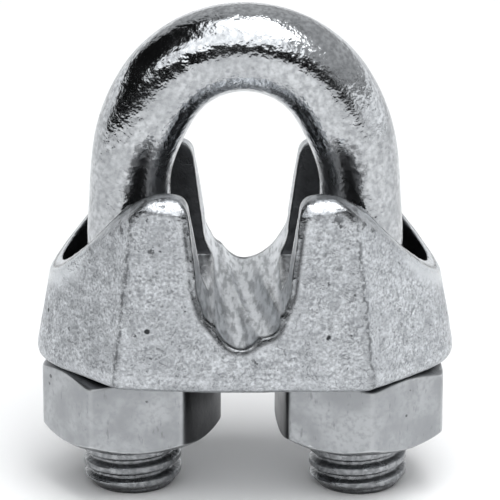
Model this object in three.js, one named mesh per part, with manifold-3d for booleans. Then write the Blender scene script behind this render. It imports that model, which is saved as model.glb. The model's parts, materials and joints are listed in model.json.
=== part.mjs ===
// Wire rope clip for 8 mm rope: a cast saddle, a round U-bolt with rolled M8 threads and two hexagon nuts.
// Millimetres, +Z up. X runs from leg to leg and Y along the rope. The origin is at the middle of the stud ends.
import * as THREE from "three";
import { mergeVertices } from "three/addons/utils/BufferGeometryUtils.js";
import Module from "manifold-3d";

const wasm = await Module();
wasm.setup();

// Driving dimensions
const LEG_SPACING = 18.3; // between the two leg axes
const STUD_LENGTH = 10.9; // stud ends to the underside of the saddle
const SADDLE_HEIGHT = 15.75; // underside to the tops of the horns
const SADDLE_LENGTH = 33.9; // along X, over the noses
const SADDLE_WIDTH = 20; // along the rope, at the base
const CROWN_HEIGHT = 25.7; // underside of the saddle to the centre of the rod at the crown
const ROD_RADIUS = 3.5;

// M8 x 1.25 thread
const PITCH = 1.25;
const THREAD = { major: 3.95, minor: 3.3, crest: 0.16 };
const THREAD_CLEARANCE = 0.15; // radial, between bolt and nut
const THREAD_AXIAL_CLEARANCE = 0.1;
const THREAD_TOP = 16.6; // height where the full thread ends
const THREAD_SIDES = 20;

// Hexagon nut
const NUT_ACROSS_FLATS = 13;
const NUT_HEIGHT = 6.3;
const NUT_SEAT_GAP = 0.05;
const NUT_TURN = { left: 5, right: -22 }; // degrees each nut is turned from having a flat to the front

const LEG_X = LEG_SPACING / 2;
const SIDES = ["left", "right"];
const sideSign = (side) => (side === "left" ? -1 : 1);
const radians = THREE.MathUtils.degToRad;

// A closed geometry as a solid for cutting and joining.
function solid(geometry) {
  const bare = new THREE.BufferGeometry();
  const source = geometry.index ? geometry.toNonIndexed() : geometry;
  bare.setAttribute("position", source.getAttribute("position"));
  const merged = mergeVertices(bare, 1e-4);
  return new wasm.Manifold(
    new wasm.Mesh({
      numProp: 3,
      vertProperties: merged.attributes.position.array,
      triVerts: new Uint32Array(merged.index.array),
    }),
  );
}

// A solid as a named mesh.
function meshOf(name, body, material) {
  const made = body.getMesh();
  const geometry = new THREE.BufferGeometry();
  geometry.setAttribute("position", new THREE.BufferAttribute(made.vertProperties, 3));
  geometry.setIndex(new THREE.BufferAttribute(made.triVerts, 1));
  geometry.computeVertexNormals();
  const mesh = new THREE.Mesh(geometry, material);
  mesh.name = name;
  return mesh;
}

// Moves every vertex of a geometry through a function of its place.
function reshape(geometry, move) {
  const position = geometry.getAttribute("position");
  const point = new THREE.Vector3();
  for (let i = 0; i < position.count; i++) {
    point.fromBufferAttribute(position, i);
    move(point);
    position.setXYZ(i, point.x, point.y, point.z);
  }
  return geometry;
}

// A plan outline raised along Z.
function raised(shape, bottom, top, steps = 1, curveSegments = 8) {
  const options = { depth: top - bottom, steps, curveSegments, bevelEnabled: false };
  return new THREE.ExtrudeGeometry(shape, options).translate(0, 0, bottom);
}

// A front outline (x, z) carried along Y, centred on Y = 0.
function carried(shape, depth, steps = 1, curveSegments = 8) {
  const options = { depth, steps, curveSegments, bevelEnabled: false };
  const geometry = new THREE.ExtrudeGeometry(shape, options);
  return geometry.rotateX(Math.PI / 2).translate(0, depth / 2, 0);
}

// ---- Threads ----

// A threaded bar along +Z from z = bottom, starting in step with the thread that passes z = 0 at angle 0.
function threadedBar({ major, minor, crest }, bottom, turns) {
  const flank = (THREAD.major - THREAD.minor) * Math.tan(radians(30));
  const rows = [
    [-crest / 2 - flank, minor],
    [-crest / 2, major],
    [crest / 2, major],
    [crest / 2 + flank, minor],
  ];
  const point = (row, column) => {
    const [rise, radius] = rows[row % rows.length];
    const turn = Math.floor(row / rows.length) + column / THREAD_SIDES;
    const angle = (2 * Math.PI * column) / THREAD_SIDES;
    return [radius * Math.cos(angle), radius * Math.sin(angle), bottom + rise + PITCH * turn];
  };
  // The last column is the first one, a whole pitch higher.
  const vertex = (row, column) => (column === THREAD_SIDES ? point(row + rows.length, 0) : point(row, column));
  const last = turns * rows.length;
  const positions = [];
  const triangle = (...corners) => corners.forEach((corner) => positions.push(...corner));
  for (let row = 0; row < last; row++) {
    for (let column = 0; column < THREAD_SIDES; column++) {
      const [a, b] = [vertex(row, column), vertex(row, column + 1)];
      const [c, d] = [vertex(row + 1, column + 1), vertex(row + 1, column)];
      triangle(a, b, c);
      triangle(a, c, d);
    }
  }
  const closeEnd = (row, axisPoint, flip) => {
    const rim = [];
    for (let column = 0; column < THREAD_SIDES; column++) rim.push(vertex(row, column));
    for (let step = rows.length; step > 0; step--) rim.push(point(row + step, 0));
    rim.forEach((corner, i) => {
      const next = rim[(i + 1) % rim.length];
      if (flip) triangle(axisPoint, corner, next);
      else triangle(axisPoint, next, corner);
    });
  };
  closeEnd(0, [0, 0, bottom + PITCH / 2], false);
  closeEnd(last, [0, 0, bottom + PITCH * (turns + 0.5)], true);
  const geometry = new THREE.BufferGeometry();
  geometry.setAttribute("position", new THREE.Float32BufferAttribute(positions, 3));
  return geometry;
}

function lathe(profile, segments) {
  const points = profile.map(([radius, height]) => new THREE.Vector2(radius, height));
  return new THREE.LatheGeometry(points, segments).rotateX(Math.PI / 2);
}

// ---- U-bolt ----

const CROWN_RADIUS = 8.1; // of the rod's centre line over the top
const SHOULDER_RADIUS = 15; // of the easier curve down into each leg
const LEG_CORE = THREAD.minor - 0.1; // the leg's radius inside the thread

// The centre line in the XZ plane, from the left stud end over the crown to the right stud end.
function uBoltLine() {
  const crownTop = STUD_LENGTH + CROWN_HEIGHT;
  const lean = Math.asin((SHOULDER_RADIUS - LEG_X) / (SHOULDER_RADIUS - CROWN_RADIUS));
  const crownCentre = crownTop - CROWN_RADIUS;
  const springing = crownCentre - (SHOULDER_RADIUS - CROWN_RADIUS) * Math.cos(lean);
  const shoulderCentre = SHOULDER_RADIUS - LEG_X;
  const start = Math.PI / 2 - lean;
  const path = new THREE.Path();
  path.moveTo(-LEG_X, 0);
  path.lineTo(-LEG_X, springing);
  path.absarc(shoulderCentre, springing, SHOULDER_RADIUS, Math.PI, Math.PI - start, true);
  path.absarc(0, crownCentre, CROWN_RADIUS, Math.PI - start, start, true);
  path.absarc(-shoulderCentre, springing, SHOULDER_RADIUS, start, 0, true);
  path.lineTo(LEG_X, 0);
  return { path, springing };
}

// The rod is slimmer inside the thread, and a little pinched where the bend springs from the legs.
function rodRadius(height, springing) {
  const pinch = 0.3 * Math.exp(-(((height - springing - 1) / 3.4) ** 2));
  const aboveThread = THREE.MathUtils.smoothstep(height, THREAD_TOP, THREAD_TOP + 1.4);
  return LEG_CORE + (ROD_RADIUS - pinch - LEG_CORE) * aboveThread;
}

function rod(sides = 22, rings = 52) {
  const { path, springing } = uBoltLine();
  const line = path.getSpacedPoints(rings);
  const positions = [];
  const ring = line.map((point, i) => {
    const before = line[Math.max(i - 1, 0)];
    const after = line[Math.min(i + 1, rings)];
    const along = after.clone().sub(before).normalize();
    const radius = rodRadius(point.y, springing);
    return Array.from({ length: sides }, (_, k) => {
      const angle = (2 * Math.PI * k) / sides;
      const out = radius * Math.sin(angle);
      return [point.x - along.y * out, radius * Math.cos(angle), point.y + along.x * out];
    });
  });
  const triangle = (...corners) => corners.forEach((corner) => positions.push(...corner));
  for (let i = 0; i < rings; i++) {
    for (let k = 0; k < sides; k++) {
      const next = (k + 1) % sides;
      triangle(ring[i][k], ring[i][next], ring[i + 1][next]);
      triangle(ring[i][k], ring[i + 1][next], ring[i + 1][k]);
    }
  }
  for (let k = 1; k < sides - 1; k++) {
    triangle(ring[0][0], ring[0][k + 1], ring[0][k]);
    triangle(ring[rings][0], ring[rings][k], ring[rings][k + 1]);
  }
  const geometry = new THREE.BufferGeometry();
  geometry.setAttribute("position", new THREE.Float32BufferAttribute(positions, 3));
  return geometry;
}

function uBolt() {
  const { major, minor } = THREAD;
  const turns = Math.ceil(THREAD_TOP / PITCH) + 4;
  const envelope = lathe(
    [[0, 0], [minor - 0.15, 0], [major, 0.8], [major, THREAD_TOP], [minor, THREAD_TOP + 1.2], [0, THREAD_TOP + 1.2]],
    THREAD_SIDES * 2,
  );
  const stud = solid(threadedBar(THREAD, -2 * PITCH, turns)).intersect(solid(envelope));
  return SIDES.reduce(
    (body, side) => body.add(stud.translate([sideSign(side) * LEG_X, 0, 0])),
    solid(rod()),
  );
}

// ---- Nuts ----

function nut(side) {
  const halfFlats = NUT_ACROSS_FLATS / 2;
  const corner = halfFlats / Math.cos(Math.PI / 6);
  const bottom = STUD_LENGTH - NUT_SEAT_GAP - NUT_HEIGHT;
  const top = bottom + NUT_HEIGHT;
  const hexagon = new THREE.CylinderGeometry(corner, corner, NUT_HEIGHT, 6);
  hexagon.rotateX(Math.PI / 2).rotateZ(radians(30 + NUT_TURN[side])).translate(0, 0, (bottom + top) / 2);
  const chamferRise = (corner + 0.1 - halfFlats * 0.95) * Math.tan(radians(30));
  const chamfers = lathe(
    [[0, bottom], [halfFlats * 0.95, bottom], [corner + 0.1, bottom + chamferRise],
      [corner + 0.1, top - chamferRise], [halfFlats * 0.95, top], [0, top]],
    48,
  );
  const hole = threadedBar(
    {
      major: THREAD.major + THREAD_CLEARANCE,
      minor: THREAD.minor + THREAD_CLEARANCE,
      crest: THREAD.crest + 2 * THREAD_AXIAL_CLEARANCE,
    },
    -2 * PITCH,
    Math.ceil(top / PITCH) + 4,
  );
  const lip = THREAD.major + 0.35;
  const sink = lip - THREAD.minor;
  const countersinks = [
    lathe([[0, bottom - 1], [lip, bottom - 1], [lip, bottom], [lip - sink, bottom + sink], [0, bottom + sink]], 32),
    lathe([[0, top - sink], [lip - sink, top - sink], [lip, top], [lip, top + 1], [0, top + 1]], 32),
  ];
  const body = solid(hexagon).intersect(solid(chamfers)).subtract(solid(hole));
  const cut = countersinks.reduce((made, sunk) => made.subtract(solid(sunk)), body);
  return cut.translate([sideSign(side) * LEG_X, 0, 0]);
}

// ---- Saddle, built with its underside at z = 0 ----

const BASE_ROUND = 1.3; // where the sides turn in to the underside
const DRAFT = { x: 0.0108, y: 0.003 }; // share of its size that the body loses per millimetre of height

const NOSE = SADDLE_LENGTH / 2;
const HALF_WIDTH = SADDLE_WIDTH / 2;

// Seen from above: a slightly bowed front, slanting shoulders and a round nose at each end.
function saddlePlan() {
  const crease = { x: 10.3, y: HALF_WIDTH - 0.5 };
  const shoulder = { x: 15.3, y: 4.3 };
  const shape = new THREE.Shape();
  shape.moveTo(-crease.x, -crease.y);
  shape.quadraticCurveTo(0, -HALF_WIDTH - 0.5, crease.x, -crease.y);
  shape.lineTo(shoulder.x, -shoulder.y);
  shape.quadraticCurveTo(NOSE, -2.4, NOSE, 0);
  shape.quadraticCurveTo(NOSE, 2.4, shoulder.x, shoulder.y);
  shape.lineTo(crease.x, crease.y);
  shape.quadraticCurveTo(0, HALF_WIDTH + 0.5, -crease.x, crease.y);
  shape.lineTo(-shoulder.x, shoulder.y);
  shape.quadraticCurveTo(-NOSE, 2.4, -NOSE, 0);
  shape.quadraticCurveTo(-NOSE, -2.4, -shoulder.x, -shoulder.y);
  shape.closePath();
  return shape;
}

// Seen from the front: a flat base, ends that lean in, and a rim that climbs from each nose to a horn.
function saddleFront() {
  const over = NOSE + 1;
  const rim = { x: 15.4, z: 7.5 };
  const horn = { inner: 4.35, outer: 8.8, rise: 1.2 };
  const right = new THREE.Path();
  right.moveTo(over, 0);
  right.lineTo(over, rim.z - 1.1);
  right.lineTo(rim.x, rim.z);
  right.lineTo(horn.outer, SADDLE_HEIGHT - horn.rise);
  right.quadraticCurveTo(horn.outer - horn.rise, SADDLE_HEIGHT, horn.outer - 2.2, SADDLE_HEIGHT);
  right.lineTo(horn.inner + 1.3, SADDLE_HEIGHT);
  right.quadraticCurveTo(horn.inner + 0.3, SADDLE_HEIGHT, horn.inner, SADDLE_HEIGHT - 0.9);
  right.lineTo(0, SADDLE_HEIGHT - 0.9);
  const half = right.getPoints(5);
  const mirrored = half.slice(0, -1).reverse().map(({ x, y }) => new THREE.Vector2(-x, y));
  return new THREE.Shape([...half, ...mirrored]);
}

// Seen from the side: the tops of the horns are rounded over at the front and the back.
function saddleSide() {
  const over = HALF_WIDTH + 1;
  const start = { y: HALF_WIDTH, z: SADDLE_HEIGHT - 3.4 };
  const shape = new THREE.Shape();
  shape.moveTo(-over, -1);
  shape.lineTo(over, -1);
  shape.lineTo(over, start.z);
  shape.lineTo(start.y, start.z);
  shape.quadraticCurveTo(HALF_WIDTH - 0.5, SADDLE_HEIGHT, HALF_WIDTH - 2, SADDLE_HEIGHT + 0.05);
  shape.lineTo(-HALF_WIDTH + 2, SADDLE_HEIGHT + 0.05);
  shape.quadraticCurveTo(-HALF_WIDTH + 0.5, SADDLE_HEIGHT, -start.y, start.z);
  shape.lineTo(-over, start.z);
  shape.closePath();
  return shape;
}

function saddleBody() {
  const steps = 4;
  const rise = BASE_ROUND / (steps - 1);
  const base = reshape(raised(saddlePlan(), 0, rise * steps, steps, 10), (point) => {
    // The lower rings draw in round the edge of the underside, and the top ring is lifted over the horns.
    const below = Math.max(1 - point.z / BASE_ROUND, 0);
    const turnedIn = 0.8 * BASE_ROUND * (1 - Math.sqrt(1 - Math.min(below, 1) ** 2));
    if (point.z > BASE_ROUND + rise / 2) point.z = SADDLE_HEIGHT + 0.8;
    point.x *= 1 - DRAFT.x * point.z - turnedIn / NOSE;
    point.y *= 1 - DRAFT.y * point.z - turnedIn / HALF_WIDTH;
  });
  const front = solid(carried(saddleFront(), SADDLE_WIDTH + 4));
  const side = solid(carried(saddleSide(), SADDLE_LENGTH + 4).rotateZ(Math.PI / 2));
  return solid(base).intersect(front).intersect(side);
}

// The clearance hole for a leg: wider outwards, and widening upwards as the casting's draft makes it.
function legPocket(side) {
  const radius = 4.4;
  const inner = LEG_X - 0.35;
  const outer = LEG_X + 0.75;
  const shape = new THREE.Shape();
  shape.moveTo(inner, -radius);
  shape.absarc(outer, 0, radius, -Math.PI / 2, Math.PI / 2, false);
  shape.absarc(inner, 0, radius, Math.PI / 2, (3 * Math.PI) / 2, false);
  const centre = (inner + outer) / 2;
  const widen = 0.006;
  const geometry = reshape(raised(shape, -1, SADDLE_HEIGHT + 2, 1, 12), (point) => {
    const scale = 1 + widen * Math.max(point.z, 0);
    point.x = centre + (point.x - centre) * scale;
    point.y *= scale;
  });
  return solid(side === "left" ? geometry.rotateZ(Math.PI) : geometry);
}

// The channel between the front and back horns, open from leg to leg above a sill and wider upwards.
function hornChannel() {
  const sill = 7;
  const half = 4.3;
  const corner = 1.6;
  const end = LEG_X;
  const widen = 0.065;
  const shape = new THREE.Shape();
  shape.moveTo(-end, -half + corner);
  shape.absarc(-end + corner, -half + corner, corner, Math.PI, 1.5 * Math.PI, false);
  shape.absarc(end - corner, -half + corner, corner, 1.5 * Math.PI, 2 * Math.PI, false);
  shape.absarc(end - corner, half - corner, corner, 0, Math.PI / 2, false);
  shape.absarc(-end + corner, half - corner, corner, Math.PI / 2, Math.PI, false);
  const geometry = reshape(raised(shape, sill, SADDLE_HEIGHT + 2, 1, 4), (point) => {
    point.y *= 1 + widen * (point.z - sill);
  });
  return solid(geometry);
}

// The rope seat, drawn in polar form round a centre line along Y: a vee with a round bottom and upright sides.
const SEAT = { centre: 9.2, side: 3.45, bottom: 0.7, bottomSpread: 24, frontMouth: 0.7, mouthTop: 4.45 };
// Prints of the rope's strands: their spacing in degrees, and how far they turn in degrees per millimetre.
const LAY = { spacing: 36, depth: 0.6, twist: -2.7, start: 28 };

// A point of the seat's surface, for an angle from straight down in degrees and a place along the rope.
// The angle is carried round with the strands, so each print keeps its own angle from one mouth to the other.
// The prints are worn shallower towards the back.
function seatPoint(angle, y) {
  const turned = angle + LAY.twist * y * Math.cos(radians(angle)) ** 2;
  const vee = SEAT.side + SEAT.bottom * Math.exp(-((turned / SEAT.bottomSpread) ** 2));
  const print = Math.abs(Math.cos((Math.PI * (angle + LAY.start)) / LAY.spacing));
  const fade = 1 - THREE.MathUtils.smoothstep(Math.abs(turned), 35, 62);
  const shallower = 1 - 0.7 * THREE.MathUtils.smoothstep(y, 0, HALF_WIDTH);
  const flareShare = 0.4 + 0.6 * Math.cos(radians(turned)) ** 2;
  const flare = SEAT.frontMouth * Math.max(-y / HALF_WIDTH, 0) ** 2 * flareShare;
  const radius = vee + LAY.depth * print * fade * shallower + flare;
  return [radius * Math.sin(radians(turned)), -radius * Math.cos(radians(turned))];
}

// The rope seat's cutter: half a unit circle carried along the rope, then stretched to the seat's surface.
function ropeSeat(divisions = 40, steps = 12) {
  const shape = new THREE.Shape();
  shape.moveTo(-1, 0);
  for (let i = 1; i <= divisions; i++) {
    const angle = radians((180 * i) / divisions - 90);
    shape.lineTo(Math.sin(angle), -Math.cos(angle));
  }
  shape.lineTo(SEAT.mouthTop, SADDLE_HEIGHT - SEAT.centre);
  shape.lineTo(SEAT.mouthTop, SADDLE_HEIGHT);
  shape.lineTo(-SEAT.mouthTop, SADDLE_HEIGHT);
  shape.lineTo(-SEAT.mouthTop, SADDLE_HEIGHT - SEAT.centre);
  const geometry = reshape(carried(shape, SADDLE_WIDTH + 4, steps), (point) => {
    if (Math.hypot(point.x, point.z) < 1.01) {
      const angle = THREE.MathUtils.radToDeg(Math.atan2(point.x, -point.z));
      [point.x, point.z] = seatPoint(angle, point.y);
    }
    point.z += SEAT.centre;
  });
  return solid(geometry);
}

function saddle() {
  const cutters = [ropeSeat(), hornChannel(), ...SIDES.map(legPocket)];
  const body = cutters.reduce((made, cutter) => made.subtract(cutter), saddleBody());
  return body.translate([0, 0, STUD_LENGTH]);
}

// ---- Assembly ----

const zinc = (color, roughness) => new THREE.MeshStandardMaterial({ color, roughness, metalness: 1 });

const clip = new THREE.Group();
clip.add(meshOf("u_bolt", uBolt(), zinc(0xc6c9cd, 0.22)));
clip.add(meshOf("saddle", saddle(), zinc(0xc2c6cb, 0.42)));
for (const side of SIDES) clip.add(meshOf(`nut_${side}`, nut(side), zinc(0xa9acb0, 0.35)));

export default clip;
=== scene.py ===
"""Wire rope clip: a cast saddle, a U-bolt with rolled threads and two hexagon nuts, all zinc plated."""

import json
import math

import bpy
import numpy as np
from mathutils import Matrix, Vector, noise


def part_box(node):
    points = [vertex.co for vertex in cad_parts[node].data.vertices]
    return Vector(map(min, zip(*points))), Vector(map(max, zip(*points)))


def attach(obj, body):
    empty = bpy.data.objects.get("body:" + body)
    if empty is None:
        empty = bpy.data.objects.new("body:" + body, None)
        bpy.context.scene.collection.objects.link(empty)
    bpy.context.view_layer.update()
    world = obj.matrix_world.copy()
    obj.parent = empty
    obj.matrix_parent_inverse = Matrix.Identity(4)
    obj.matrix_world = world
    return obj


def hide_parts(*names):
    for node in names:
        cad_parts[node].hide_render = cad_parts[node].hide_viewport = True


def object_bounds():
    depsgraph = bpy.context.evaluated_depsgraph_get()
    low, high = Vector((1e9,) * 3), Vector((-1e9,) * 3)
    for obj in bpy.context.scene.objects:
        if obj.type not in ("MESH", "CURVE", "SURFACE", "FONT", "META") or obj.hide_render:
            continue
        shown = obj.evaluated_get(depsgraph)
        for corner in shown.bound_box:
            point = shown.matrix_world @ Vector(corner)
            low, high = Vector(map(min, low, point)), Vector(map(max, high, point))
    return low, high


MM = 0.001

# Shape of the U-bolt's bar, as the CAD has it
ROD_RADIUS = 3.5 * MM
CROWN_RADIUS = 8.1 * MM
SHOULDER_RADIUS = 15.0 * MM

# M8 rolled thread with its crests and roots rounded
PITCH = 1.25 * MM
MAJOR = 3.95 * MM
MINOR = 3.42 * MM
CREST = 0.42 * MM
FLANK = 0.3 * MM
THREAD_TOP = 16.6 * MM
RUN_OUT = 1.4 * MM
THREAD_CLEARANCE = 0.12 * MM

# Hexagon nuts
ACROSS_FLATS = 13.0 * MM
CHAMFER = math.radians(33)
NUT_TURN = {"nut_left": math.radians(5), "nut_right": math.radians(-22)}

# Saddle: half the seat's width, the line where its front meets each shoulder, and its horns' heights
SEAT_HALF = 4.2 * MM
CREASE_FOOT = 11.51 * MM
CREASE_LEAN = 0.111
HORN_FOOT = 22.0 * MM
HORN_TIP = 27.0 * MM

# Where each leg is painted in shade: the middle's distance from the clip's middle and its height, then half
# sizes
LEG_SHADE_PLACE = (7.5 * MM, 26.4 * MM)
LEG_SHADE_SIZE = (1.7 * MM, 3.0 * MM)

# Studio: how far the floor reaches, and where the camera stands
FLOOR_REACH = 1.5
AZIMUTH = math.radians(0.5)
ELEVATION = math.radians(18.5)
DISTANCE = 0.3
LENS = 270.0

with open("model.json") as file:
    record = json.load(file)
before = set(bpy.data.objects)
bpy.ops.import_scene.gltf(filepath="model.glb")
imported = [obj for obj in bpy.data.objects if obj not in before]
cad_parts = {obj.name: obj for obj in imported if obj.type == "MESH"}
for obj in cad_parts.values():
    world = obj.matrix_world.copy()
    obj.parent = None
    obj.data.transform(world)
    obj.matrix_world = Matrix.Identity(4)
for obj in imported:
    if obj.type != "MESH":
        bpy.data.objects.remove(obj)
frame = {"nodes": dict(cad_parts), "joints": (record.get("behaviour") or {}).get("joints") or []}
CAD_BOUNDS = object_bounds()


# ---- Mesh helpers ----

def smooth_step(low, high, value):
    t = np.clip((value - low) / (high - low), 0.0, 1.0)
    return t * t * (3.0 - 2.0 * t)


def lattice_mesh(name, rings, closed_ring_list=False):
    """A smooth-shaded mesh from an array of rings (rows, columns, xyz), each ring closed on itself.

    A ring list that isn't closed gets a flat cap at each end.
    """
    rows, columns, _ = rings.shape
    vertices = rings.reshape(-1, 3)
    index = np.arange(rows * columns).reshape(rows, columns)
    if closed_ring_list:
        index = np.vstack([index, index[:1]])
    here, across = index[:-1], np.roll(index[:-1], -1, axis=1)
    above, diagonal = index[1:], np.roll(index[1:], -1, axis=1)
    faces = np.stack([here, across, diagonal, above], axis=-1).reshape(-1, 4).tolist()
    if not closed_ring_list:
        faces.append(index[0][::-1].tolist())
        faces.append(index[-1].tolist())
    mesh = bpy.data.meshes.new(name)
    mesh.from_pydata(vertices.tolist(), [], faces)
    mesh.validate()
    mesh.polygons.foreach_set("use_smooth", [True] * len(mesh.polygons))
    piece = bpy.data.objects.new(name, mesh)
    bpy.context.scene.collection.objects.link(piece)
    return piece


def thread_radius(angle, height, grow=0.0):
    """The thread's radius at an angle round its axis and a height. Its crest passes height 0 at angle 0."""
    turns = height / PITCH - angle / (2.0 * math.pi)
    from_crest = np.abs(turns - np.round(turns)) * PITCH
    wall = smooth_step(CREST / 2 + grow / 2, CREST / 2 + FLANK + grow / 2, from_crest)
    return MAJOR + grow - (MAJOR - MINOR) * wall


def stand_in(piece, node, body):
    """Puts a finished piece in a CAD node's place."""
    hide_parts(node)
    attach(piece, body)


# ---- U-bolt ----

def u_bolt_line(leg_x, crown_top):
    """The bar's centre line from the left stud end to the crown: points (x, z) and directions."""
    crown_centre = crown_top - ROD_RADIUS - CROWN_RADIUS
    lean = math.asin((SHOULDER_RADIUS - leg_x) / (SHOULDER_RADIUS - CROWN_RADIUS))
    springing = crown_centre - (SHOULDER_RADIUS - CROWN_RADIUS) * math.cos(lean)
    thread_rows = np.arange(0.0, THREAD_TOP + RUN_OUT, 0.07 * MM)
    leg_rows = np.linspace(THREAD_TOP + RUN_OUT, springing, 24)
    heights = np.concatenate([thread_rows, leg_rows])
    leg = np.stack([np.full_like(heights, -leg_x), heights], axis=1)
    up = np.tile([0.0, 1.0], (len(heights), 1))
    bend = math.pi / 2 - lean
    shoulder = np.linspace(math.pi, math.pi - bend, 40)[1:]
    crown = np.linspace(math.pi - bend, math.pi / 2, 40)[1:]
    arcs = []
    for angles, centre, radius in (
        (shoulder, (SHOULDER_RADIUS - leg_x, springing), SHOULDER_RADIUS),
        (crown, (0.0, crown_centre), CROWN_RADIUS),
    ):
        points = np.stack([np.cos(angles), np.sin(angles)], axis=1) * radius + centre
        along = np.stack([np.sin(angles), -np.cos(angles)], axis=1)
        arcs.append((points, along))
    points = np.concatenate([leg, arcs[0][0], arcs[1][0]])
    along = np.concatenate([up, arcs[0][1], arcs[1][1]])
    mirror = np.array([-1.0, 1.0])
    points = np.concatenate([points, points[-2::-1] * mirror])
    along = np.concatenate([along, along[-2::-1] * mirror * -1.0])
    return points, along, springing


def bar_radius(angle, height, springing):
    """The bar's radius: a chamfered thread, its run-out, then plain bar, a little pinched at the bend."""
    threaded = thread_radius(angle, height)
    chamfer = MINOR - 0.25 * MM + height * 0.9
    threaded = np.minimum(threaded, chamfer)
    pinch = 0.3 * MM * np.exp(-(((height - springing - 1.0 * MM) / (3.4 * MM)) ** 2))
    plain = ROD_RADIUS - pinch
    return threaded + (plain - threaded) * smooth_step(THREAD_TOP, THREAD_TOP + RUN_OUT, height)


def make_u_bolt():
    """The bar swept along its centre line: rings of points that carry the thread up each leg."""
    leg_x = next(joint for joint in frame["joints"] if joint["name"] == "nut_right_spin")["pos_m"][0]
    crown_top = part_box("u_bolt")[1][2]
    points, along, springing = u_bolt_line(leg_x, crown_top)
    sides = 120
    round_bar = np.linspace(0.0, 2.0 * math.pi, sides, endpoint=False)
    outward = np.stack([-along[:, 1], along[:, 0]], axis=1)
    cosine, sine = np.cos(round_bar), np.sin(round_bar)
    left = points[:, 0] < 0.0
    world_angle = np.where(left[:, None], math.pi / 2 + round_bar, math.pi / 2 - round_bar)
    radius = bar_radius(world_angle, points[:, 1][:, None], springing)
    rings = np.empty((len(points), sides, 3))
    rings[..., 0] = points[:, 0][:, None] + radius * sine * outward[:, 0][:, None]
    rings[..., 1] = radius * cosine
    rings[..., 2] = points[:, 1][:, None] + radius * sine * outward[:, 1][:, None]
    piece = lattice_mesh("u_bolt_bar", rings)
    stand_in(piece, "u_bolt", "u_bolt")
    return piece


# ---- Nuts ----

def hexagon_radius(angle, turn):
    """The distance from a hexagon's middle to its side at an angle, with its corners a little rounded."""
    sixth = math.pi / 3
    from_flat = (angle - turn + math.pi / 2 + sixth / 2) % sixth - sixth / 2
    sharp = ACROSS_FLATS / 2 / np.cos(from_flat)
    corner = ACROSS_FLATS / 2 / math.cos(sixth / 2)
    return sharp - 0.3 * MM * np.exp((sharp - corner) / (0.3 * MM))


def make_nut(node):
    """A chamfered hexagon with a countersunk, threaded bore: rings of points round its wall and back."""
    low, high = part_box(node)
    bottom, top = low[2], high[2]
    joint = next(joint for joint in frame["joints"] if joint["name"] == f"{node}_spin")
    axis_x = joint["pos_m"][0]
    columns = 240
    angle = np.linspace(0.0, 2.0 * math.pi, columns, endpoint=False)
    washer_face = 0.95 * ACROSS_FLATS / 2
    mouth = MAJOR + 0.3 * MM
    half = (top - bottom) / 2
    # From the middle of the outside over the top face and down through the thread, then back underneath.
    outside_rows = np.concatenate([np.linspace(0.0, half * 0.6, 6), np.linspace(half * 0.64, half, 36)])
    face_rows = np.linspace(washer_face, mouth, 10)[1:]
    thread_rows = np.arange(half, -half, -0.08 * MM)[1:]
    rings = []

    def ring(radius, rise):
        radius = np.broadcast_to(radius, angle.shape)
        height = np.full(columns, (bottom + top) / 2 + rise)
        rings.append(np.stack([axis_x + radius * np.cos(angle), radius * np.sin(angle), height], axis=1))

    def outside(rise):
        slope = washer_face + (half - abs(rise)) / math.tan(CHAMFER)
        flat = hexagon_radius(angle, NUT_TURN[node])
        blend = 0.06 * MM
        ring(-blend * np.log(np.exp(-flat / blend) + np.exp(-slope / blend)), rise)

    for rise in outside_rows:
        outside(rise)
    for radius in face_rows:
        ring(radius, half)
    for rise in thread_rows:
        countersink = mouth - (half - abs(rise))
        thread = thread_radius(angle, (bottom + top) / 2 + rise, THREAD_CLEARANCE)
        ring(np.maximum(thread, countersink), rise)
    for radius in face_rows[::-1]:
        ring(radius, -half)
    for rise in outside_rows[:0:-1]:
        outside(-rise)
    piece = lattice_mesh(f"{node}_hex", np.array(rings), closed_ring_list=True)
    stand_in(piece, node, node)
    return piece


# ---- Saddle ----

def cast_ripple(point):
    """How far a sand casting's skin stands off its nominal shape."""
    broad = noise.noise(point / (3.4 * MM))
    fine = noise.noise(point / (0.9 * MM) + Vector((7.0, 3.0, 5.0)))
    return 0.05 * MM * broad + 0.018 * MM * fine


def modified_copy(piece):
    """A new mesh with a piece's modifiers applied."""
    evaluated = piece.evaluated_get(bpy.context.evaluated_depsgraph_get())
    return bpy.data.meshes.new_from_object(evaluated)


def vertex_numbers(mesh, attribute):
    """A mesh's vertex places or normals, as an array with a row for each vertex."""
    numbers = np.empty(len(mesh.vertices) * 3)
    mesh.vertices.foreach_get(attribute, numbers)
    return numbers.reshape(-1, 3)


def add_smooth(piece, iterations, group=""):
    """Rounds a mesh's edges, everywhere or only in a vertex group."""
    smooth = piece.modifiers.new("Smooth", "SMOOTH")
    smooth.factor = 0.5
    smooth.iterations = iterations
    smooth.vertex_group = group


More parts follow.
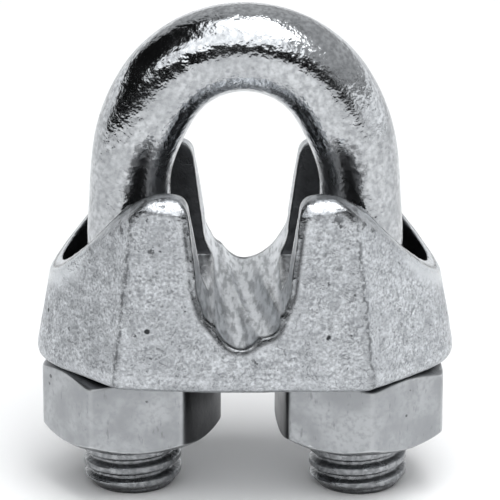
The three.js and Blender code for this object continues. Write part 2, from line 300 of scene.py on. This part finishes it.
def make_saddle():
    """The CAD saddle remeshed finely, its edges worn round outside the rope's seat, rippled as cast."""
    piece = bpy.data.objects.new("saddle_casting", frame["nodes"]["saddle"].data.copy())
    bpy.context.scene.collection.objects.link(piece)
    remesh = piece.modifiers.new("Fine", "REMESH")
    remesh.mode = "VOXEL"
    remesh.voxel_size = 0.13 * MM
    add_smooth(piece, 6)
    piece.data = modified_copy(piece)
    piece.modifiers.clear()
    outside_seat = np.nonzero(np.abs(vertex_numbers(piece.data, "co")[:, 0]) > SEAT_HALF)[0]
    group = piece.vertex_groups.new(name="outside_seat")
    group.add(outside_seat.tolist(), 1.0, "REPLACE")
    add_smooth(piece, 12, group.name)
    mesh = modified_copy(piece)
    piece.modifiers.clear()
    places = vertex_numbers(mesh, "co")
    ripple = np.array([cast_ripple(Vector(place)) for place in places])
    mesh.vertices.foreach_set("co", (places + vertex_numbers(mesh, "normal") * ripple[:, None]).ravel())
    mesh.update()
    mesh.polygons.foreach_set("use_smooth", [True] * len(mesh.polygons))
    mesh.materials.clear()
    piece.vertex_groups.clear()
    piece.data = mesh
    stand_in(piece, "saddle", "saddle")
    return piece


# ---- Materials ----

class Nodes:
    """A small helper for building a plated metal's node tree."""

    def __init__(self, name):
        self.material = bpy.data.materials.new(name)
        self.material.use_nodes = True
        self.tree = self.material.node_tree
        self.shader = self.tree.nodes["Principled BSDF"]
        self.shader.inputs["Metallic"].default_value = 1.0
        coordinates = self.tree.nodes.new("ShaderNodeTexCoord")
        self.place = coordinates.outputs["Object"]
        self.face = coordinates.outputs["Normal"]

    def link(self, output, target):
        self.tree.links.new(output, target)

    def noise(self, size, detail=2.0, roughness=0.5, distortion=0.0, stretch=(1.0, 1.0, 1.0)):
        """A 0 to 1 noise whose grains are about size metres across, longer on an axis stretched below 1."""
        node = self.tree.nodes.new("ShaderNodeTexNoise")
        node.inputs["Scale"].default_value = 1.0 / size
        node.inputs["Detail"].default_value = detail
        node.inputs["Roughness"].default_value = roughness
        node.inputs["Distortion"].default_value = distortion
        scaled = self.tree.nodes.new("ShaderNodeVectorMath")
        scaled.operation = "MULTIPLY"
        scaled.inputs[1].default_value = stretch
        self.link(self.place, scaled.inputs[0])
        self.link(scaled.outputs["Vector"], node.inputs["Vector"])
        return node.outputs["Fac"]

    def spots(self, spacing, radius, share):
        """1 inside scattered ragged spots: a share of cells about spacing apart holds one."""
        cells = self.tree.nodes.new("ShaderNodeTexVoronoi")
        cells.inputs["Scale"].default_value = 1.0 / spacing
        self.link(self.place, cells.inputs["Vector"])
        ragged = self.math("MULTIPLY", self.noise(0.3 * spacing, 3.0, 0.7), radius * 1.6)
        reach = self.math("ADD", cells.outputs["Distance"], ragged)
        near = self.ramp(reach, ((radius * 1.4, 1.0), (radius * 1.8, 0.0)))
        pick = self.tree.nodes.new("ShaderNodeSeparateColor")
        self.link(cells.outputs["Color"], pick.inputs["Color"])
        chosen = self.math("LESS_THAN", pick.outputs["Red"], share)
        return self.math("MULTIPLY", near, chosen)

    def ramp(self, value, stops):
        node = self.tree.nodes.new("ShaderNodeMapRange")
        node.interpolation_type = "SMOOTHSTEP"
        (low, at_low), (high, at_high) = stops
        node.inputs["From Min"].default_value = low
        node.inputs["From Max"].default_value = high
        node.inputs["To Min"].default_value = at_low
        node.inputs["To Max"].default_value = at_high
        self.link(value, node.inputs["Value"])
        return node.outputs["Result"]

    def math(self, operation, first, second):
        node = self.tree.nodes.new("ShaderNodeMath")
        node.operation = operation
        for socket, value in zip(node.inputs, (first, second)):
            if isinstance(value, (int, float)):
                socket.default_value = value
            else:
                self.link(value, socket)
        return node.outputs["Value"]

    def mix(self, factor, first, second):
        """A colour between two colours; either may be a colour or a node's output."""
        node = self.tree.nodes.new("ShaderNodeMix")
        node.data_type = "RGBA"
        self.link(factor, node.inputs["Factor"])
        for socket, colour in zip([s for s in node.inputs if s.type == "RGBA"], (first, second)):
            if isinstance(colour, tuple):
                socket.default_value = (*colour, 1.0)
            else:
                self.link(colour, socket)
        return next(s for s in node.outputs if s.type == "RGBA")

    def openness(self, reach):
        """Near 1 in the open, and near 0 in a gap or a corner narrower than reach."""
        node = self.tree.nodes.new("ShaderNodeAmbientOcclusion")
        node.samples = 8
        node.inputs["Distance"].default_value = reach
        return node.outputs["AO"]

    def solidity(self, reach):
        """1 where the metal is thicker than reach, falling to about 0.5 on the brow of an edge."""
        node = self.tree.nodes.new("ShaderNodeAmbientOcclusion")
        node.samples = 12
        node.inside = True
        node.inputs["Distance"].default_value = reach
        return node.outputs["AO"]

    def axes(self, vector):
        split = self.tree.nodes.new("ShaderNodeSeparateXYZ")
        self.link(vector, split.inputs["Vector"])
        return [split.outputs[axis] for axis in "XYZ"]

    def facing_in(self, axis):
        """1 where a face looks straight towards the middle along an axis, -1 where it looks away."""
        side = self.math("SIGN", self.axes(self.place)[axis], 0.0)
        return self.math("MULTIPLY", self.math("MULTIPLY", side, self.axes(self.face)[axis]), -1.0)

    def worn_edges(self, low, high):
        """1 along the edges that stand out, 0 on flats and in hollows."""
        geometry = self.tree.nodes.new("ShaderNodeNewGeometry")
        return self.ramp(geometry.outputs["Pointiness"], ((low, 0.0), (high, 1.0)))

    def patch(self, centre, size, ragged):
        """1 in an oval round a distance from the middle and a height, on both legs, with a ragged edge."""
        x, _, z = self.axes(self.place)
        out = self.math("ABSOLUTE", x, 0.0)
        across = self.math("DIVIDE", self.math("SUBTRACT", out, centre[0]), size[0])
        up = self.math("DIVIDE", self.math("SUBTRACT", z, centre[1]), size[1])
        reach = self.math("ADD", self.math("MULTIPLY", across, across), self.math("MULTIPLY", up, up))
        return self.ramp(self.math("ADD", reach, ragged), ((0.7, 1.0), (1.7, 0.0)))

    def bump(self, heights):
        """Bumps from (height, distance in metres) pairs, one on top of the other."""
        normal = None
        for height, distance in heights:
            node = self.tree.nodes.new("ShaderNodeBump")
            node.inputs["Strength"].default_value = 1.0
            node.inputs["Distance"].default_value = distance
            self.link(height, node.inputs["Height"])
            if normal:
                self.link(normal, node.inputs["Normal"])
            normal = node.outputs["Normal"]
        self.link(normal, self.shader.inputs["Normal"])


def cast_grain(n, fine, mottle, cloud):
    """The casting's pale plate, coloured by three sizes of noise."""
    plate = n.mix(n.ramp(fine, ((0.25, 0.0), (0.75, 1.0))), (0.30, 0.311, 0.326), (0.74, 0.763, 0.79))
    mottled = n.mix(n.ramp(mottle, ((0.30, 0.55), (0.56, 0.0))), plate, (0.30, 0.311, 0.326))
    return n.mix(n.ramp(cloud, ((0.35, 0.35), (0.60, 0.0))), mottled, (0.40, 0.415, 0.435))


def crease_shade_line(n, out, z):
    """1 along the broken, wandering line where the front meets each shoulder: a painted line of shade along
    the crease.
    """
    wander = n.math("MULTIPLY", n.math("SUBTRACT", n.noise(0.9 * MM, 3.0, 0.6), 0.5), 0.7 * MM)
    line = n.math("SUBTRACT", n.math("ADD", out, n.math("MULTIPLY", z, CREASE_LEAN)), CREASE_FOOT)
    from_line = n.math("ABSOLUTE", n.math("ADD", line, wander), 0.0)
    near = n.ramp(from_line, ((0.02 * MM, 1.0), (0.25 * MM, 0.0)))
    broken = n.ramp(n.noise(0.4 * MM, 3.0, 0.6), ((0.40, 0.0), (0.54, 0.9)))
    return n.math("MULTIPLY", near, broken)


def cast_wrinkles(n):
    """1 along fine folds in the plate, which come in areas."""
    fold = n.math("ABSOLUTE", n.math("SUBTRACT", n.noise(1.1 * MM, 2.0, 0.5, 1.0), 0.5), 0.0)
    wrinkled = n.ramp(n.noise(1.9 * MM, 2.0, 0.5), ((0.44, 0.0), (0.58, 0.65)))
    return n.math("MULTIPLY", n.ramp(fold, ((0.0, 1.0), (0.025, 0.0))), wrinkled)


def cast_scale(n, z):
    """1 on patches of dark scale, which are commoner towards the horn tops."""
    near_top = n.ramp(z, ((HORN_FOOT, 0.0), (HORN_TIP, 0.12)))
    return n.ramp(n.math("ADD", n.noise(1.3 * MM, 4.0, 0.65), near_top), ((0.67, 0.0), (0.71, 0.9)))


def rubbed_and_toplit_seat(n, colour, out):
    """The rope's seat, rubbed bright in streaks along the rope, but only where it looks up: partly rope
    wear and partly painted light from above.
    """
    looking_up = n.ramp(n.axes(n.face)[2], ((0.05, 0.0), (0.3, 0.75)))
    in_seat = n.math("MULTIPLY", n.ramp(out, ((SEAT_HALF, 1.0), (1.12 * SEAT_HALF, 0.0))), looking_up)
    drawn = n.noise(0.45 * MM, 3.0, 0.6, stretch=(1.0, 0.2, 0.6))
    # Painted light: the up-facing part of the seat is made paler, as if lit from above.
    polish_and_top_light = n.mix(n.ramp(drawn, ((0.36, 0.0), (0.58, 1.0))), (0.46, 0.475, 0.49), (0.95, 0.97, 0.99))
    return n.mix(in_seat, colour, polish_and_top_light)


def cast_rims(n, colour, brow):
    """Every edge burnished on its brow, with a painted dark reflection line just inside it."""
    close = n.solidity(0.9 * MM)
    past_flat = n.ramp(close, ((0.90, 0.0), (0.82, 1.0)))
    before_brow = n.ramp(close, ((0.62, 0.0), (0.70, 1.0)))
    thickness = n.ramp(n.noise(0.9 * MM, 3.0, 0.6), ((0.34, 0.5), (0.48, 1.0)))
    # Painted reflection: a broken dark line a little inside each edge.
    dark_rim_line = n.math("MULTIPLY", n.math("MINIMUM", past_flat, before_brow), thickness)
    return n.mix(dark_rim_line, n.mix(brow, colour, (0.60, 0.62, 0.64)), (0.05, 0.052, 0.055))


def shaded_hollows(n, out):
    """1 on the insides of the horns and the leg holes: painted shade, where shade falls."""
    horn_inside = n.ramp(n.facing_in(1), ((0.35, 0.0), (0.65, 1.0)))
    facing_seat = n.ramp(n.facing_in(0), ((0.35, 0.0), (0.65, 1.0)))
    beyond_seat = n.ramp(out, ((1.2 * SEAT_HALF, 0.0), (1.4 * SEAT_HALF, 1.0)))
    return n.math("MAXIMUM", horn_inside, n.math("MULTIPLY", facing_seat, beyond_seat))


def cast_zinc():
    """Zinc plate over a sand casting: pale and mottled, with dark scale, glossy on its rubbed edges."""
    n = Nodes("cast_zinc")
    x, _, z = n.axes(n.place)
    out = n.math("ABSOLUTE", x, 0.0)
    fine = n.noise(0.25 * MM, 3.0, 0.6)
    mottle = n.noise(1.0 * MM, 3.0, 0.6)
    cloud = n.noise(3.5 * MM, 3.0, 0.55)
    specks = n.ramp(n.noise(0.5 * MM, 3.0, 0.65), ((0.58, 0.0), (0.68, 0.8)))
    # The crease line is painted shade and the wrinkles are the plate's own folds. Both are painted dark
    # below.
    lines = n.math("MAXIMUM", crease_shade_line(n, out, z), cast_wrinkles(n))
    marks = n.math("MAXIMUM", specks, lines)
    marked = n.mix(marks, cast_grain(n, fine, mottle, cloud), (0.15, 0.156, 0.164))
    scale = cast_scale(n, z)
    scaled = n.mix(scale, marked, (0.10, 0.104, 0.11))
    pitted = n.mix(n.spots(2.0 * MM, 0.13, 0.35), scaled, (0.05, 0.052, 0.055))
    brow = n.ramp(n.solidity(1.5 * MM), ((0.62, 1.0), (0.92, 0.0)))
    rimmed = cast_rims(n, rubbed_and_toplit_seat(n, pitted, out), brow)
    # Painted shade: the hollows are painted near black, and they get less of the edges' gloss.
    hollow_shade = shaded_hollows(n, out)
    plated = n.mix(hollow_shade, rimmed, (0.06, 0.062, 0.066))
    # Painted shade: the colour darkens to near black in gaps and corners narrower than 2 mm, where shade
    # falls.
    gap = n.ramp(n.openness(2.0 * MM), ((0.1, 1.0), (0.5, 0.0)))
    n.link(n.mix(gap, plated, (0.04, 0.041, 0.044)), n.shader.inputs["Base Color"])
    satin = n.ramp(mottle, ((0.3, 0.50), (0.7, 0.36)))
    gloss = n.math("MULTIPLY", n.math("SUBTRACT", brow, hollow_shade), 0.65)
    n.link(n.math("MULTIPLY", satin, n.math("SUBTRACT", 1.0, gloss)), n.shader.inputs["Roughness"])
    sunk = n.math("SUBTRACT", 1.0, scale)
    n.bump([(cloud, 0.08 * MM), (mottle, 0.09 * MM), (fine, 0.022 * MM), (sunk, 0.04 * MM)])
    return n.material


def bar_zinc():
    """Zinc plate over drawn bar: glossy orange peel, with painted shade on the legs where the bend springs
    from them.
    """
    n = Nodes("bar_zinc")
    peel = n.noise(0.6 * MM, 2.0, 0.55)
    cloud = n.noise(2.2 * MM, 3.0, 0.55)
    fine = n.noise(0.4 * MM, 2.0, 0.5)
    plate = n.mix(n.ramp(fine, ((0.25, 0.0), (0.75, 1.0))), (0.34, 0.35, 0.362), (0.60, 0.615, 0.631))
    clouded = n.mix(n.ramp(cloud, ((0.32, 0.5), (0.60, 0.0))), plate, (0.36, 0.371, 0.384))
    specks = n.ramp(n.noise(0.5 * MM, 3.0, 0.6), ((0.62, 0.0), (0.72, 0.6)))
    specked = n.mix(specks, clouded, (0.22, 0.226, 0.234))
    ragged = n.math("MULTIPLY", n.math("SUBTRACT", n.noise(0.7 * MM, 4.0, 0.65), 0.5), 4.0)
    # Painted shade: a dark, rougher patch on the inner side of each leg, level with the horn tops, where
    # the bar lies in shade.
    leg_shade = n.patch(LEG_SHADE_PLACE, LEG_SHADE_SIZE, ragged)
    leg_shaded = n.mix(leg_shade, specked, (0.16, 0.164, 0.170))
    in_thread = n.ramp(n.axes(n.place)[2], ((THREAD_TOP, 1.0), (THREAD_TOP + RUN_OUT, 0.0)))
    # The threaded part is made darker, in blotches, and rougher.
    thread_darkening = n.math("MULTIPLY", in_thread, n.ramp(fine, ((0.35, 1.0), (0.65, 0.5))))
    rolled = n.mix(thread_darkening, leg_shaded, (0.22, 0.226, 0.234))
    # Painted shade: the bar darkens in gaps and corners narrower than 1.5 mm, such as under the nuts and
    # near the floor.
    gap = n.ramp(n.openness(1.5 * MM), ((0.25, 1.0), (0.75, 0.0)))
    n.link(n.mix(gap, rolled, (0.05, 0.051, 0.053)), n.shader.inputs["Base Color"])
    gloss = n.ramp(cloud, ((0.3, 0.17), (0.7, 0.11)))
    rougher = n.math("MULTIPLY", n.math("MAXIMUM", in_thread, leg_shade), 0.14)
    n.link(n.math("ADD", gloss, rougher), n.shader.inputs["Roughness"])
    n.bump([(peel, 0.07 * MM), (n.noise(0.2 * MM, 1.0, 0.5), 0.006 * MM)])
    return n.material


def nut_zinc():
    """Zinc plate over cold-formed nuts: satin grey, paler on worn edges, with painted shade on the inner
    flats.
    """
    n = Nodes("nut_zinc")
    fine = n.noise(0.4 * MM, 2.0, 0.5)
    cloud = n.noise(2.6 * MM, 3.0, 0.5)
    plate = n.mix(n.ramp(cloud, ((0.30, 0.0), (0.70, 1.0))), (0.31, 0.32, 0.332), (0.43, 0.442, 0.455))
    grained = n.mix(n.ramp(fine, ((0.25, 0.9), (0.60, 0.0))), plate, (0.32, 0.33, 0.342))
    scratches = n.noise(0.5 * MM, 3.0, 0.65, stretch=(1.0, 1.0, 0.3))
    scratched = n.mix(n.ramp(scratches, ((0.60, 0.0), (0.72, 0.6))), grained, (0.20, 0.206, 0.214))
    worn = n.mix(n.worn_edges(0.508, 0.530), scratched, (0.58, 0.59, 0.60))
    dented = n.mix(n.spots(1.6 * MM, 0.12, 0.3), worn, (0.12, 0.124, 0.13))
    # Painted shade: the flats that face the other nut are darkened.
    inner_flats_shaded = n.mix(n.ramp(n.facing_in(0), ((0.6, 0.0), (0.85, 1.0))), dented, (0.09, 0.092, 0.096))
    # Painted shade: the nut darkens in gaps and corners narrower than 1.5 mm, such as between it and the
    # saddle.
    gap = n.ramp(n.openness(1.5 * MM), ((0.3, 1.0), (0.8, 0.0)))
    n.link(n.mix(gap, inner_flats_shaded, (0.03, 0.031, 0.033)), n.shader.inputs["Base Color"])
    n.link(n.ramp(cloud, ((0.3, 0.36), (0.7, 0.28))), n.shader.inputs["Roughness"])
    n.bump([(cloud, 0.04 * MM), (fine, 0.012 * MM)])
    return n.material


# ---- Studio ----

def add_floor():
    """A plain sheet of white paper."""
    mesh = bpy.data.meshes.new("floor")
    corners = [(-1, -1), (1, -1), (1, 1), (-1, 1)]
    mesh.from_pydata([(x * FLOOR_REACH, y * FLOOR_REACH, 0.0) for x, y in corners], [], [(0, 1, 2, 3)])
    floor = bpy.data.objects.new("floor", mesh)
    bpy.context.scene.collection.objects.link(floor)
    paper = bpy.data.materials.new("white_paper")
    paper.use_nodes = True
    shader = paper.node_tree.nodes["Principled BSDF"]
    shader.inputs["Base Color"].default_value = (0.95, 0.95, 0.95, 1.0)
    shader.inputs["Roughness"].default_value = 0.9
    mesh.materials.append(paper)


def add_softbox(name, place, aim, size, power):
    """A rectangular lamp that looks at a point."""
    data = bpy.data.lights.new(name, "AREA")
    data.shape = "RECTANGLE"
    data.size, data.size_y = size
    data.energy = power
    lamp = bpy.data.objects.new(name, data)
    lamp.location = place
    lamp.rotation_euler = (Vector(aim) - Vector(place)).to_track_quat("-Z", "Y").to_euler()
    bpy.context.scene.collection.objects.link(lamp)


def add_room():
    """The room as the plating mirrors it: pale overhead, dark low in front and on the left, grey behind."""
    world = bpy.data.worlds.new("studio")
    bpy.context.scene.world = world
    world.use_nodes = True
    tree = world.node_tree
    background = tree.nodes["Background"]
    direction = tree.nodes.new("ShaderNodeTexCoord").outputs["Generated"]
    split = tree.nodes.new("ShaderNodeSeparateXYZ")
    tree.links.new(direction, split.inputs["Vector"])

    def step(value, low, high):
        node = tree.nodes.new("ShaderNodeMapRange")
        node.interpolation_type = "SMOOTHSTEP"
        node.inputs["From Min"].default_value = low
        node.inputs["From Max"].default_value = high
        tree.links.new(value, node.inputs["Value"])
        return node.outputs["Result"]

    def combine(operation, first, second):
        node = tree.nodes.new("ShaderNodeMath")
        node.operation = operation
        for socket, value in zip(node.inputs, (first, second)):
            if isinstance(value, (int, float)):
                socket.default_value = value
            else:
                tree.links.new(value, socket)
        return node.outputs["Value"]

    def both(first, second):
        return combine("MULTIPLY", first, second)

    # x is to the right, y away from the front and z up. Each wall is a soft-edged range of them.
    x, y, z = (split.outputs[axis] for axis in "XYZ")
    above = step(z, 0.33, 0.40)
    fill = combine("MULTIPLY", both(step(x, -0.50, -0.34), step(y, 0.30, 0.0)), 0.44)
    softbox = both(both(step(x, -0.42, -0.30), step(x, 0.42, 0.28)), step(y, 0.30, 0.0))
    left_end = both(both(step(x, -0.90, -0.75), step(x, 0.0, -0.20)), step(y, -0.40, -0.58))
    panel = combine("MULTIPLY", combine("MAXIMUM", softbox, left_end), 1.6)
    overhead = both(above, combine("ADD", fill, panel))
    right_wall = combine("MULTIPLY", both(step(x, 0.30, 0.55), step(z, 0.24, 0.38)), 0.55)
    right_low = combine("MULTIPLY", both(step(x, 0.60, 0.85), step(z, 0.30, 0.18)), 1.3)
    from_left = combine("MULTIPLY", combine("MINIMUM", combine("ADD", x, 0.15), 0.0), 0.9)
    behind = combine("MULTIPLY", step(combine("ADD", y, from_left), 0.10, 0.35), 0.58)
    behind_low = combine("MULTIPLY", both(step(y, 0.05, 0.30), step(z, 0.28, 0.20)), 1.1)
    brightest = overhead
    for wall in (right_wall, right_low, behind, behind_low):
        brightest = combine("MAXIMUM", brightest, wall)
    strength = combine("ADD", brightest, 0.008)
    tree.links.new(strength, background.inputs["Strength"])
    background.inputs["Color"].default_value = (0.97, 0.985, 1.0, 1.0)


def add_camera():
    """A long lens in front of the clip and a little above it."""
    low, high = (Vector(corner) for corner in CAD_BOUNDS)
    target = (low + high) / 2 + Vector((0.4, 0.0, -0.3)) * MM
    level = Vector((math.sin(AZIMUTH), -math.cos(AZIMUTH), 0.0))
    back = level * math.cos(ELEVATION) + Vector((0.0, 0.0, math.sin(ELEVATION)))
    right = Vector((math.cos(AZIMUTH), math.sin(AZIMUTH), 0.0))
    up = back.cross(right)
    data = bpy.data.cameras.new("camera")
    data.sensor_width = 36.0
    data.lens = LENS
    data.clip_start = 0.01
    camera = bpy.data.objects.new("camera", data)
    rotation = Matrix((right, up, back)).transposed().to_4x4()
    camera.matrix_world = Matrix.Translation(target + back * DISTANCE) @ rotation
    bpy.context.scene.collection.objects.link(camera)
    bpy.context.scene.camera = camera


def build():
    add_camera()
    add_floor()
    add_room()
    add_softbox("overhead", (0.08, -0.12, 0.42), (0.0, 0.0, 0.02), (0.22, 0.34), 1.0)
    make_saddle().data.materials.append(cast_zinc())
    make_u_bolt().data.materials.append(bar_zinc())
    nut_finish = nut_zinc()
    for node in ("nut_left", "nut_right"):
        make_nut(node).data.materials.append(nut_finish)
    bpy.context.scene.view_settings.view_transform = "Standard"


build()
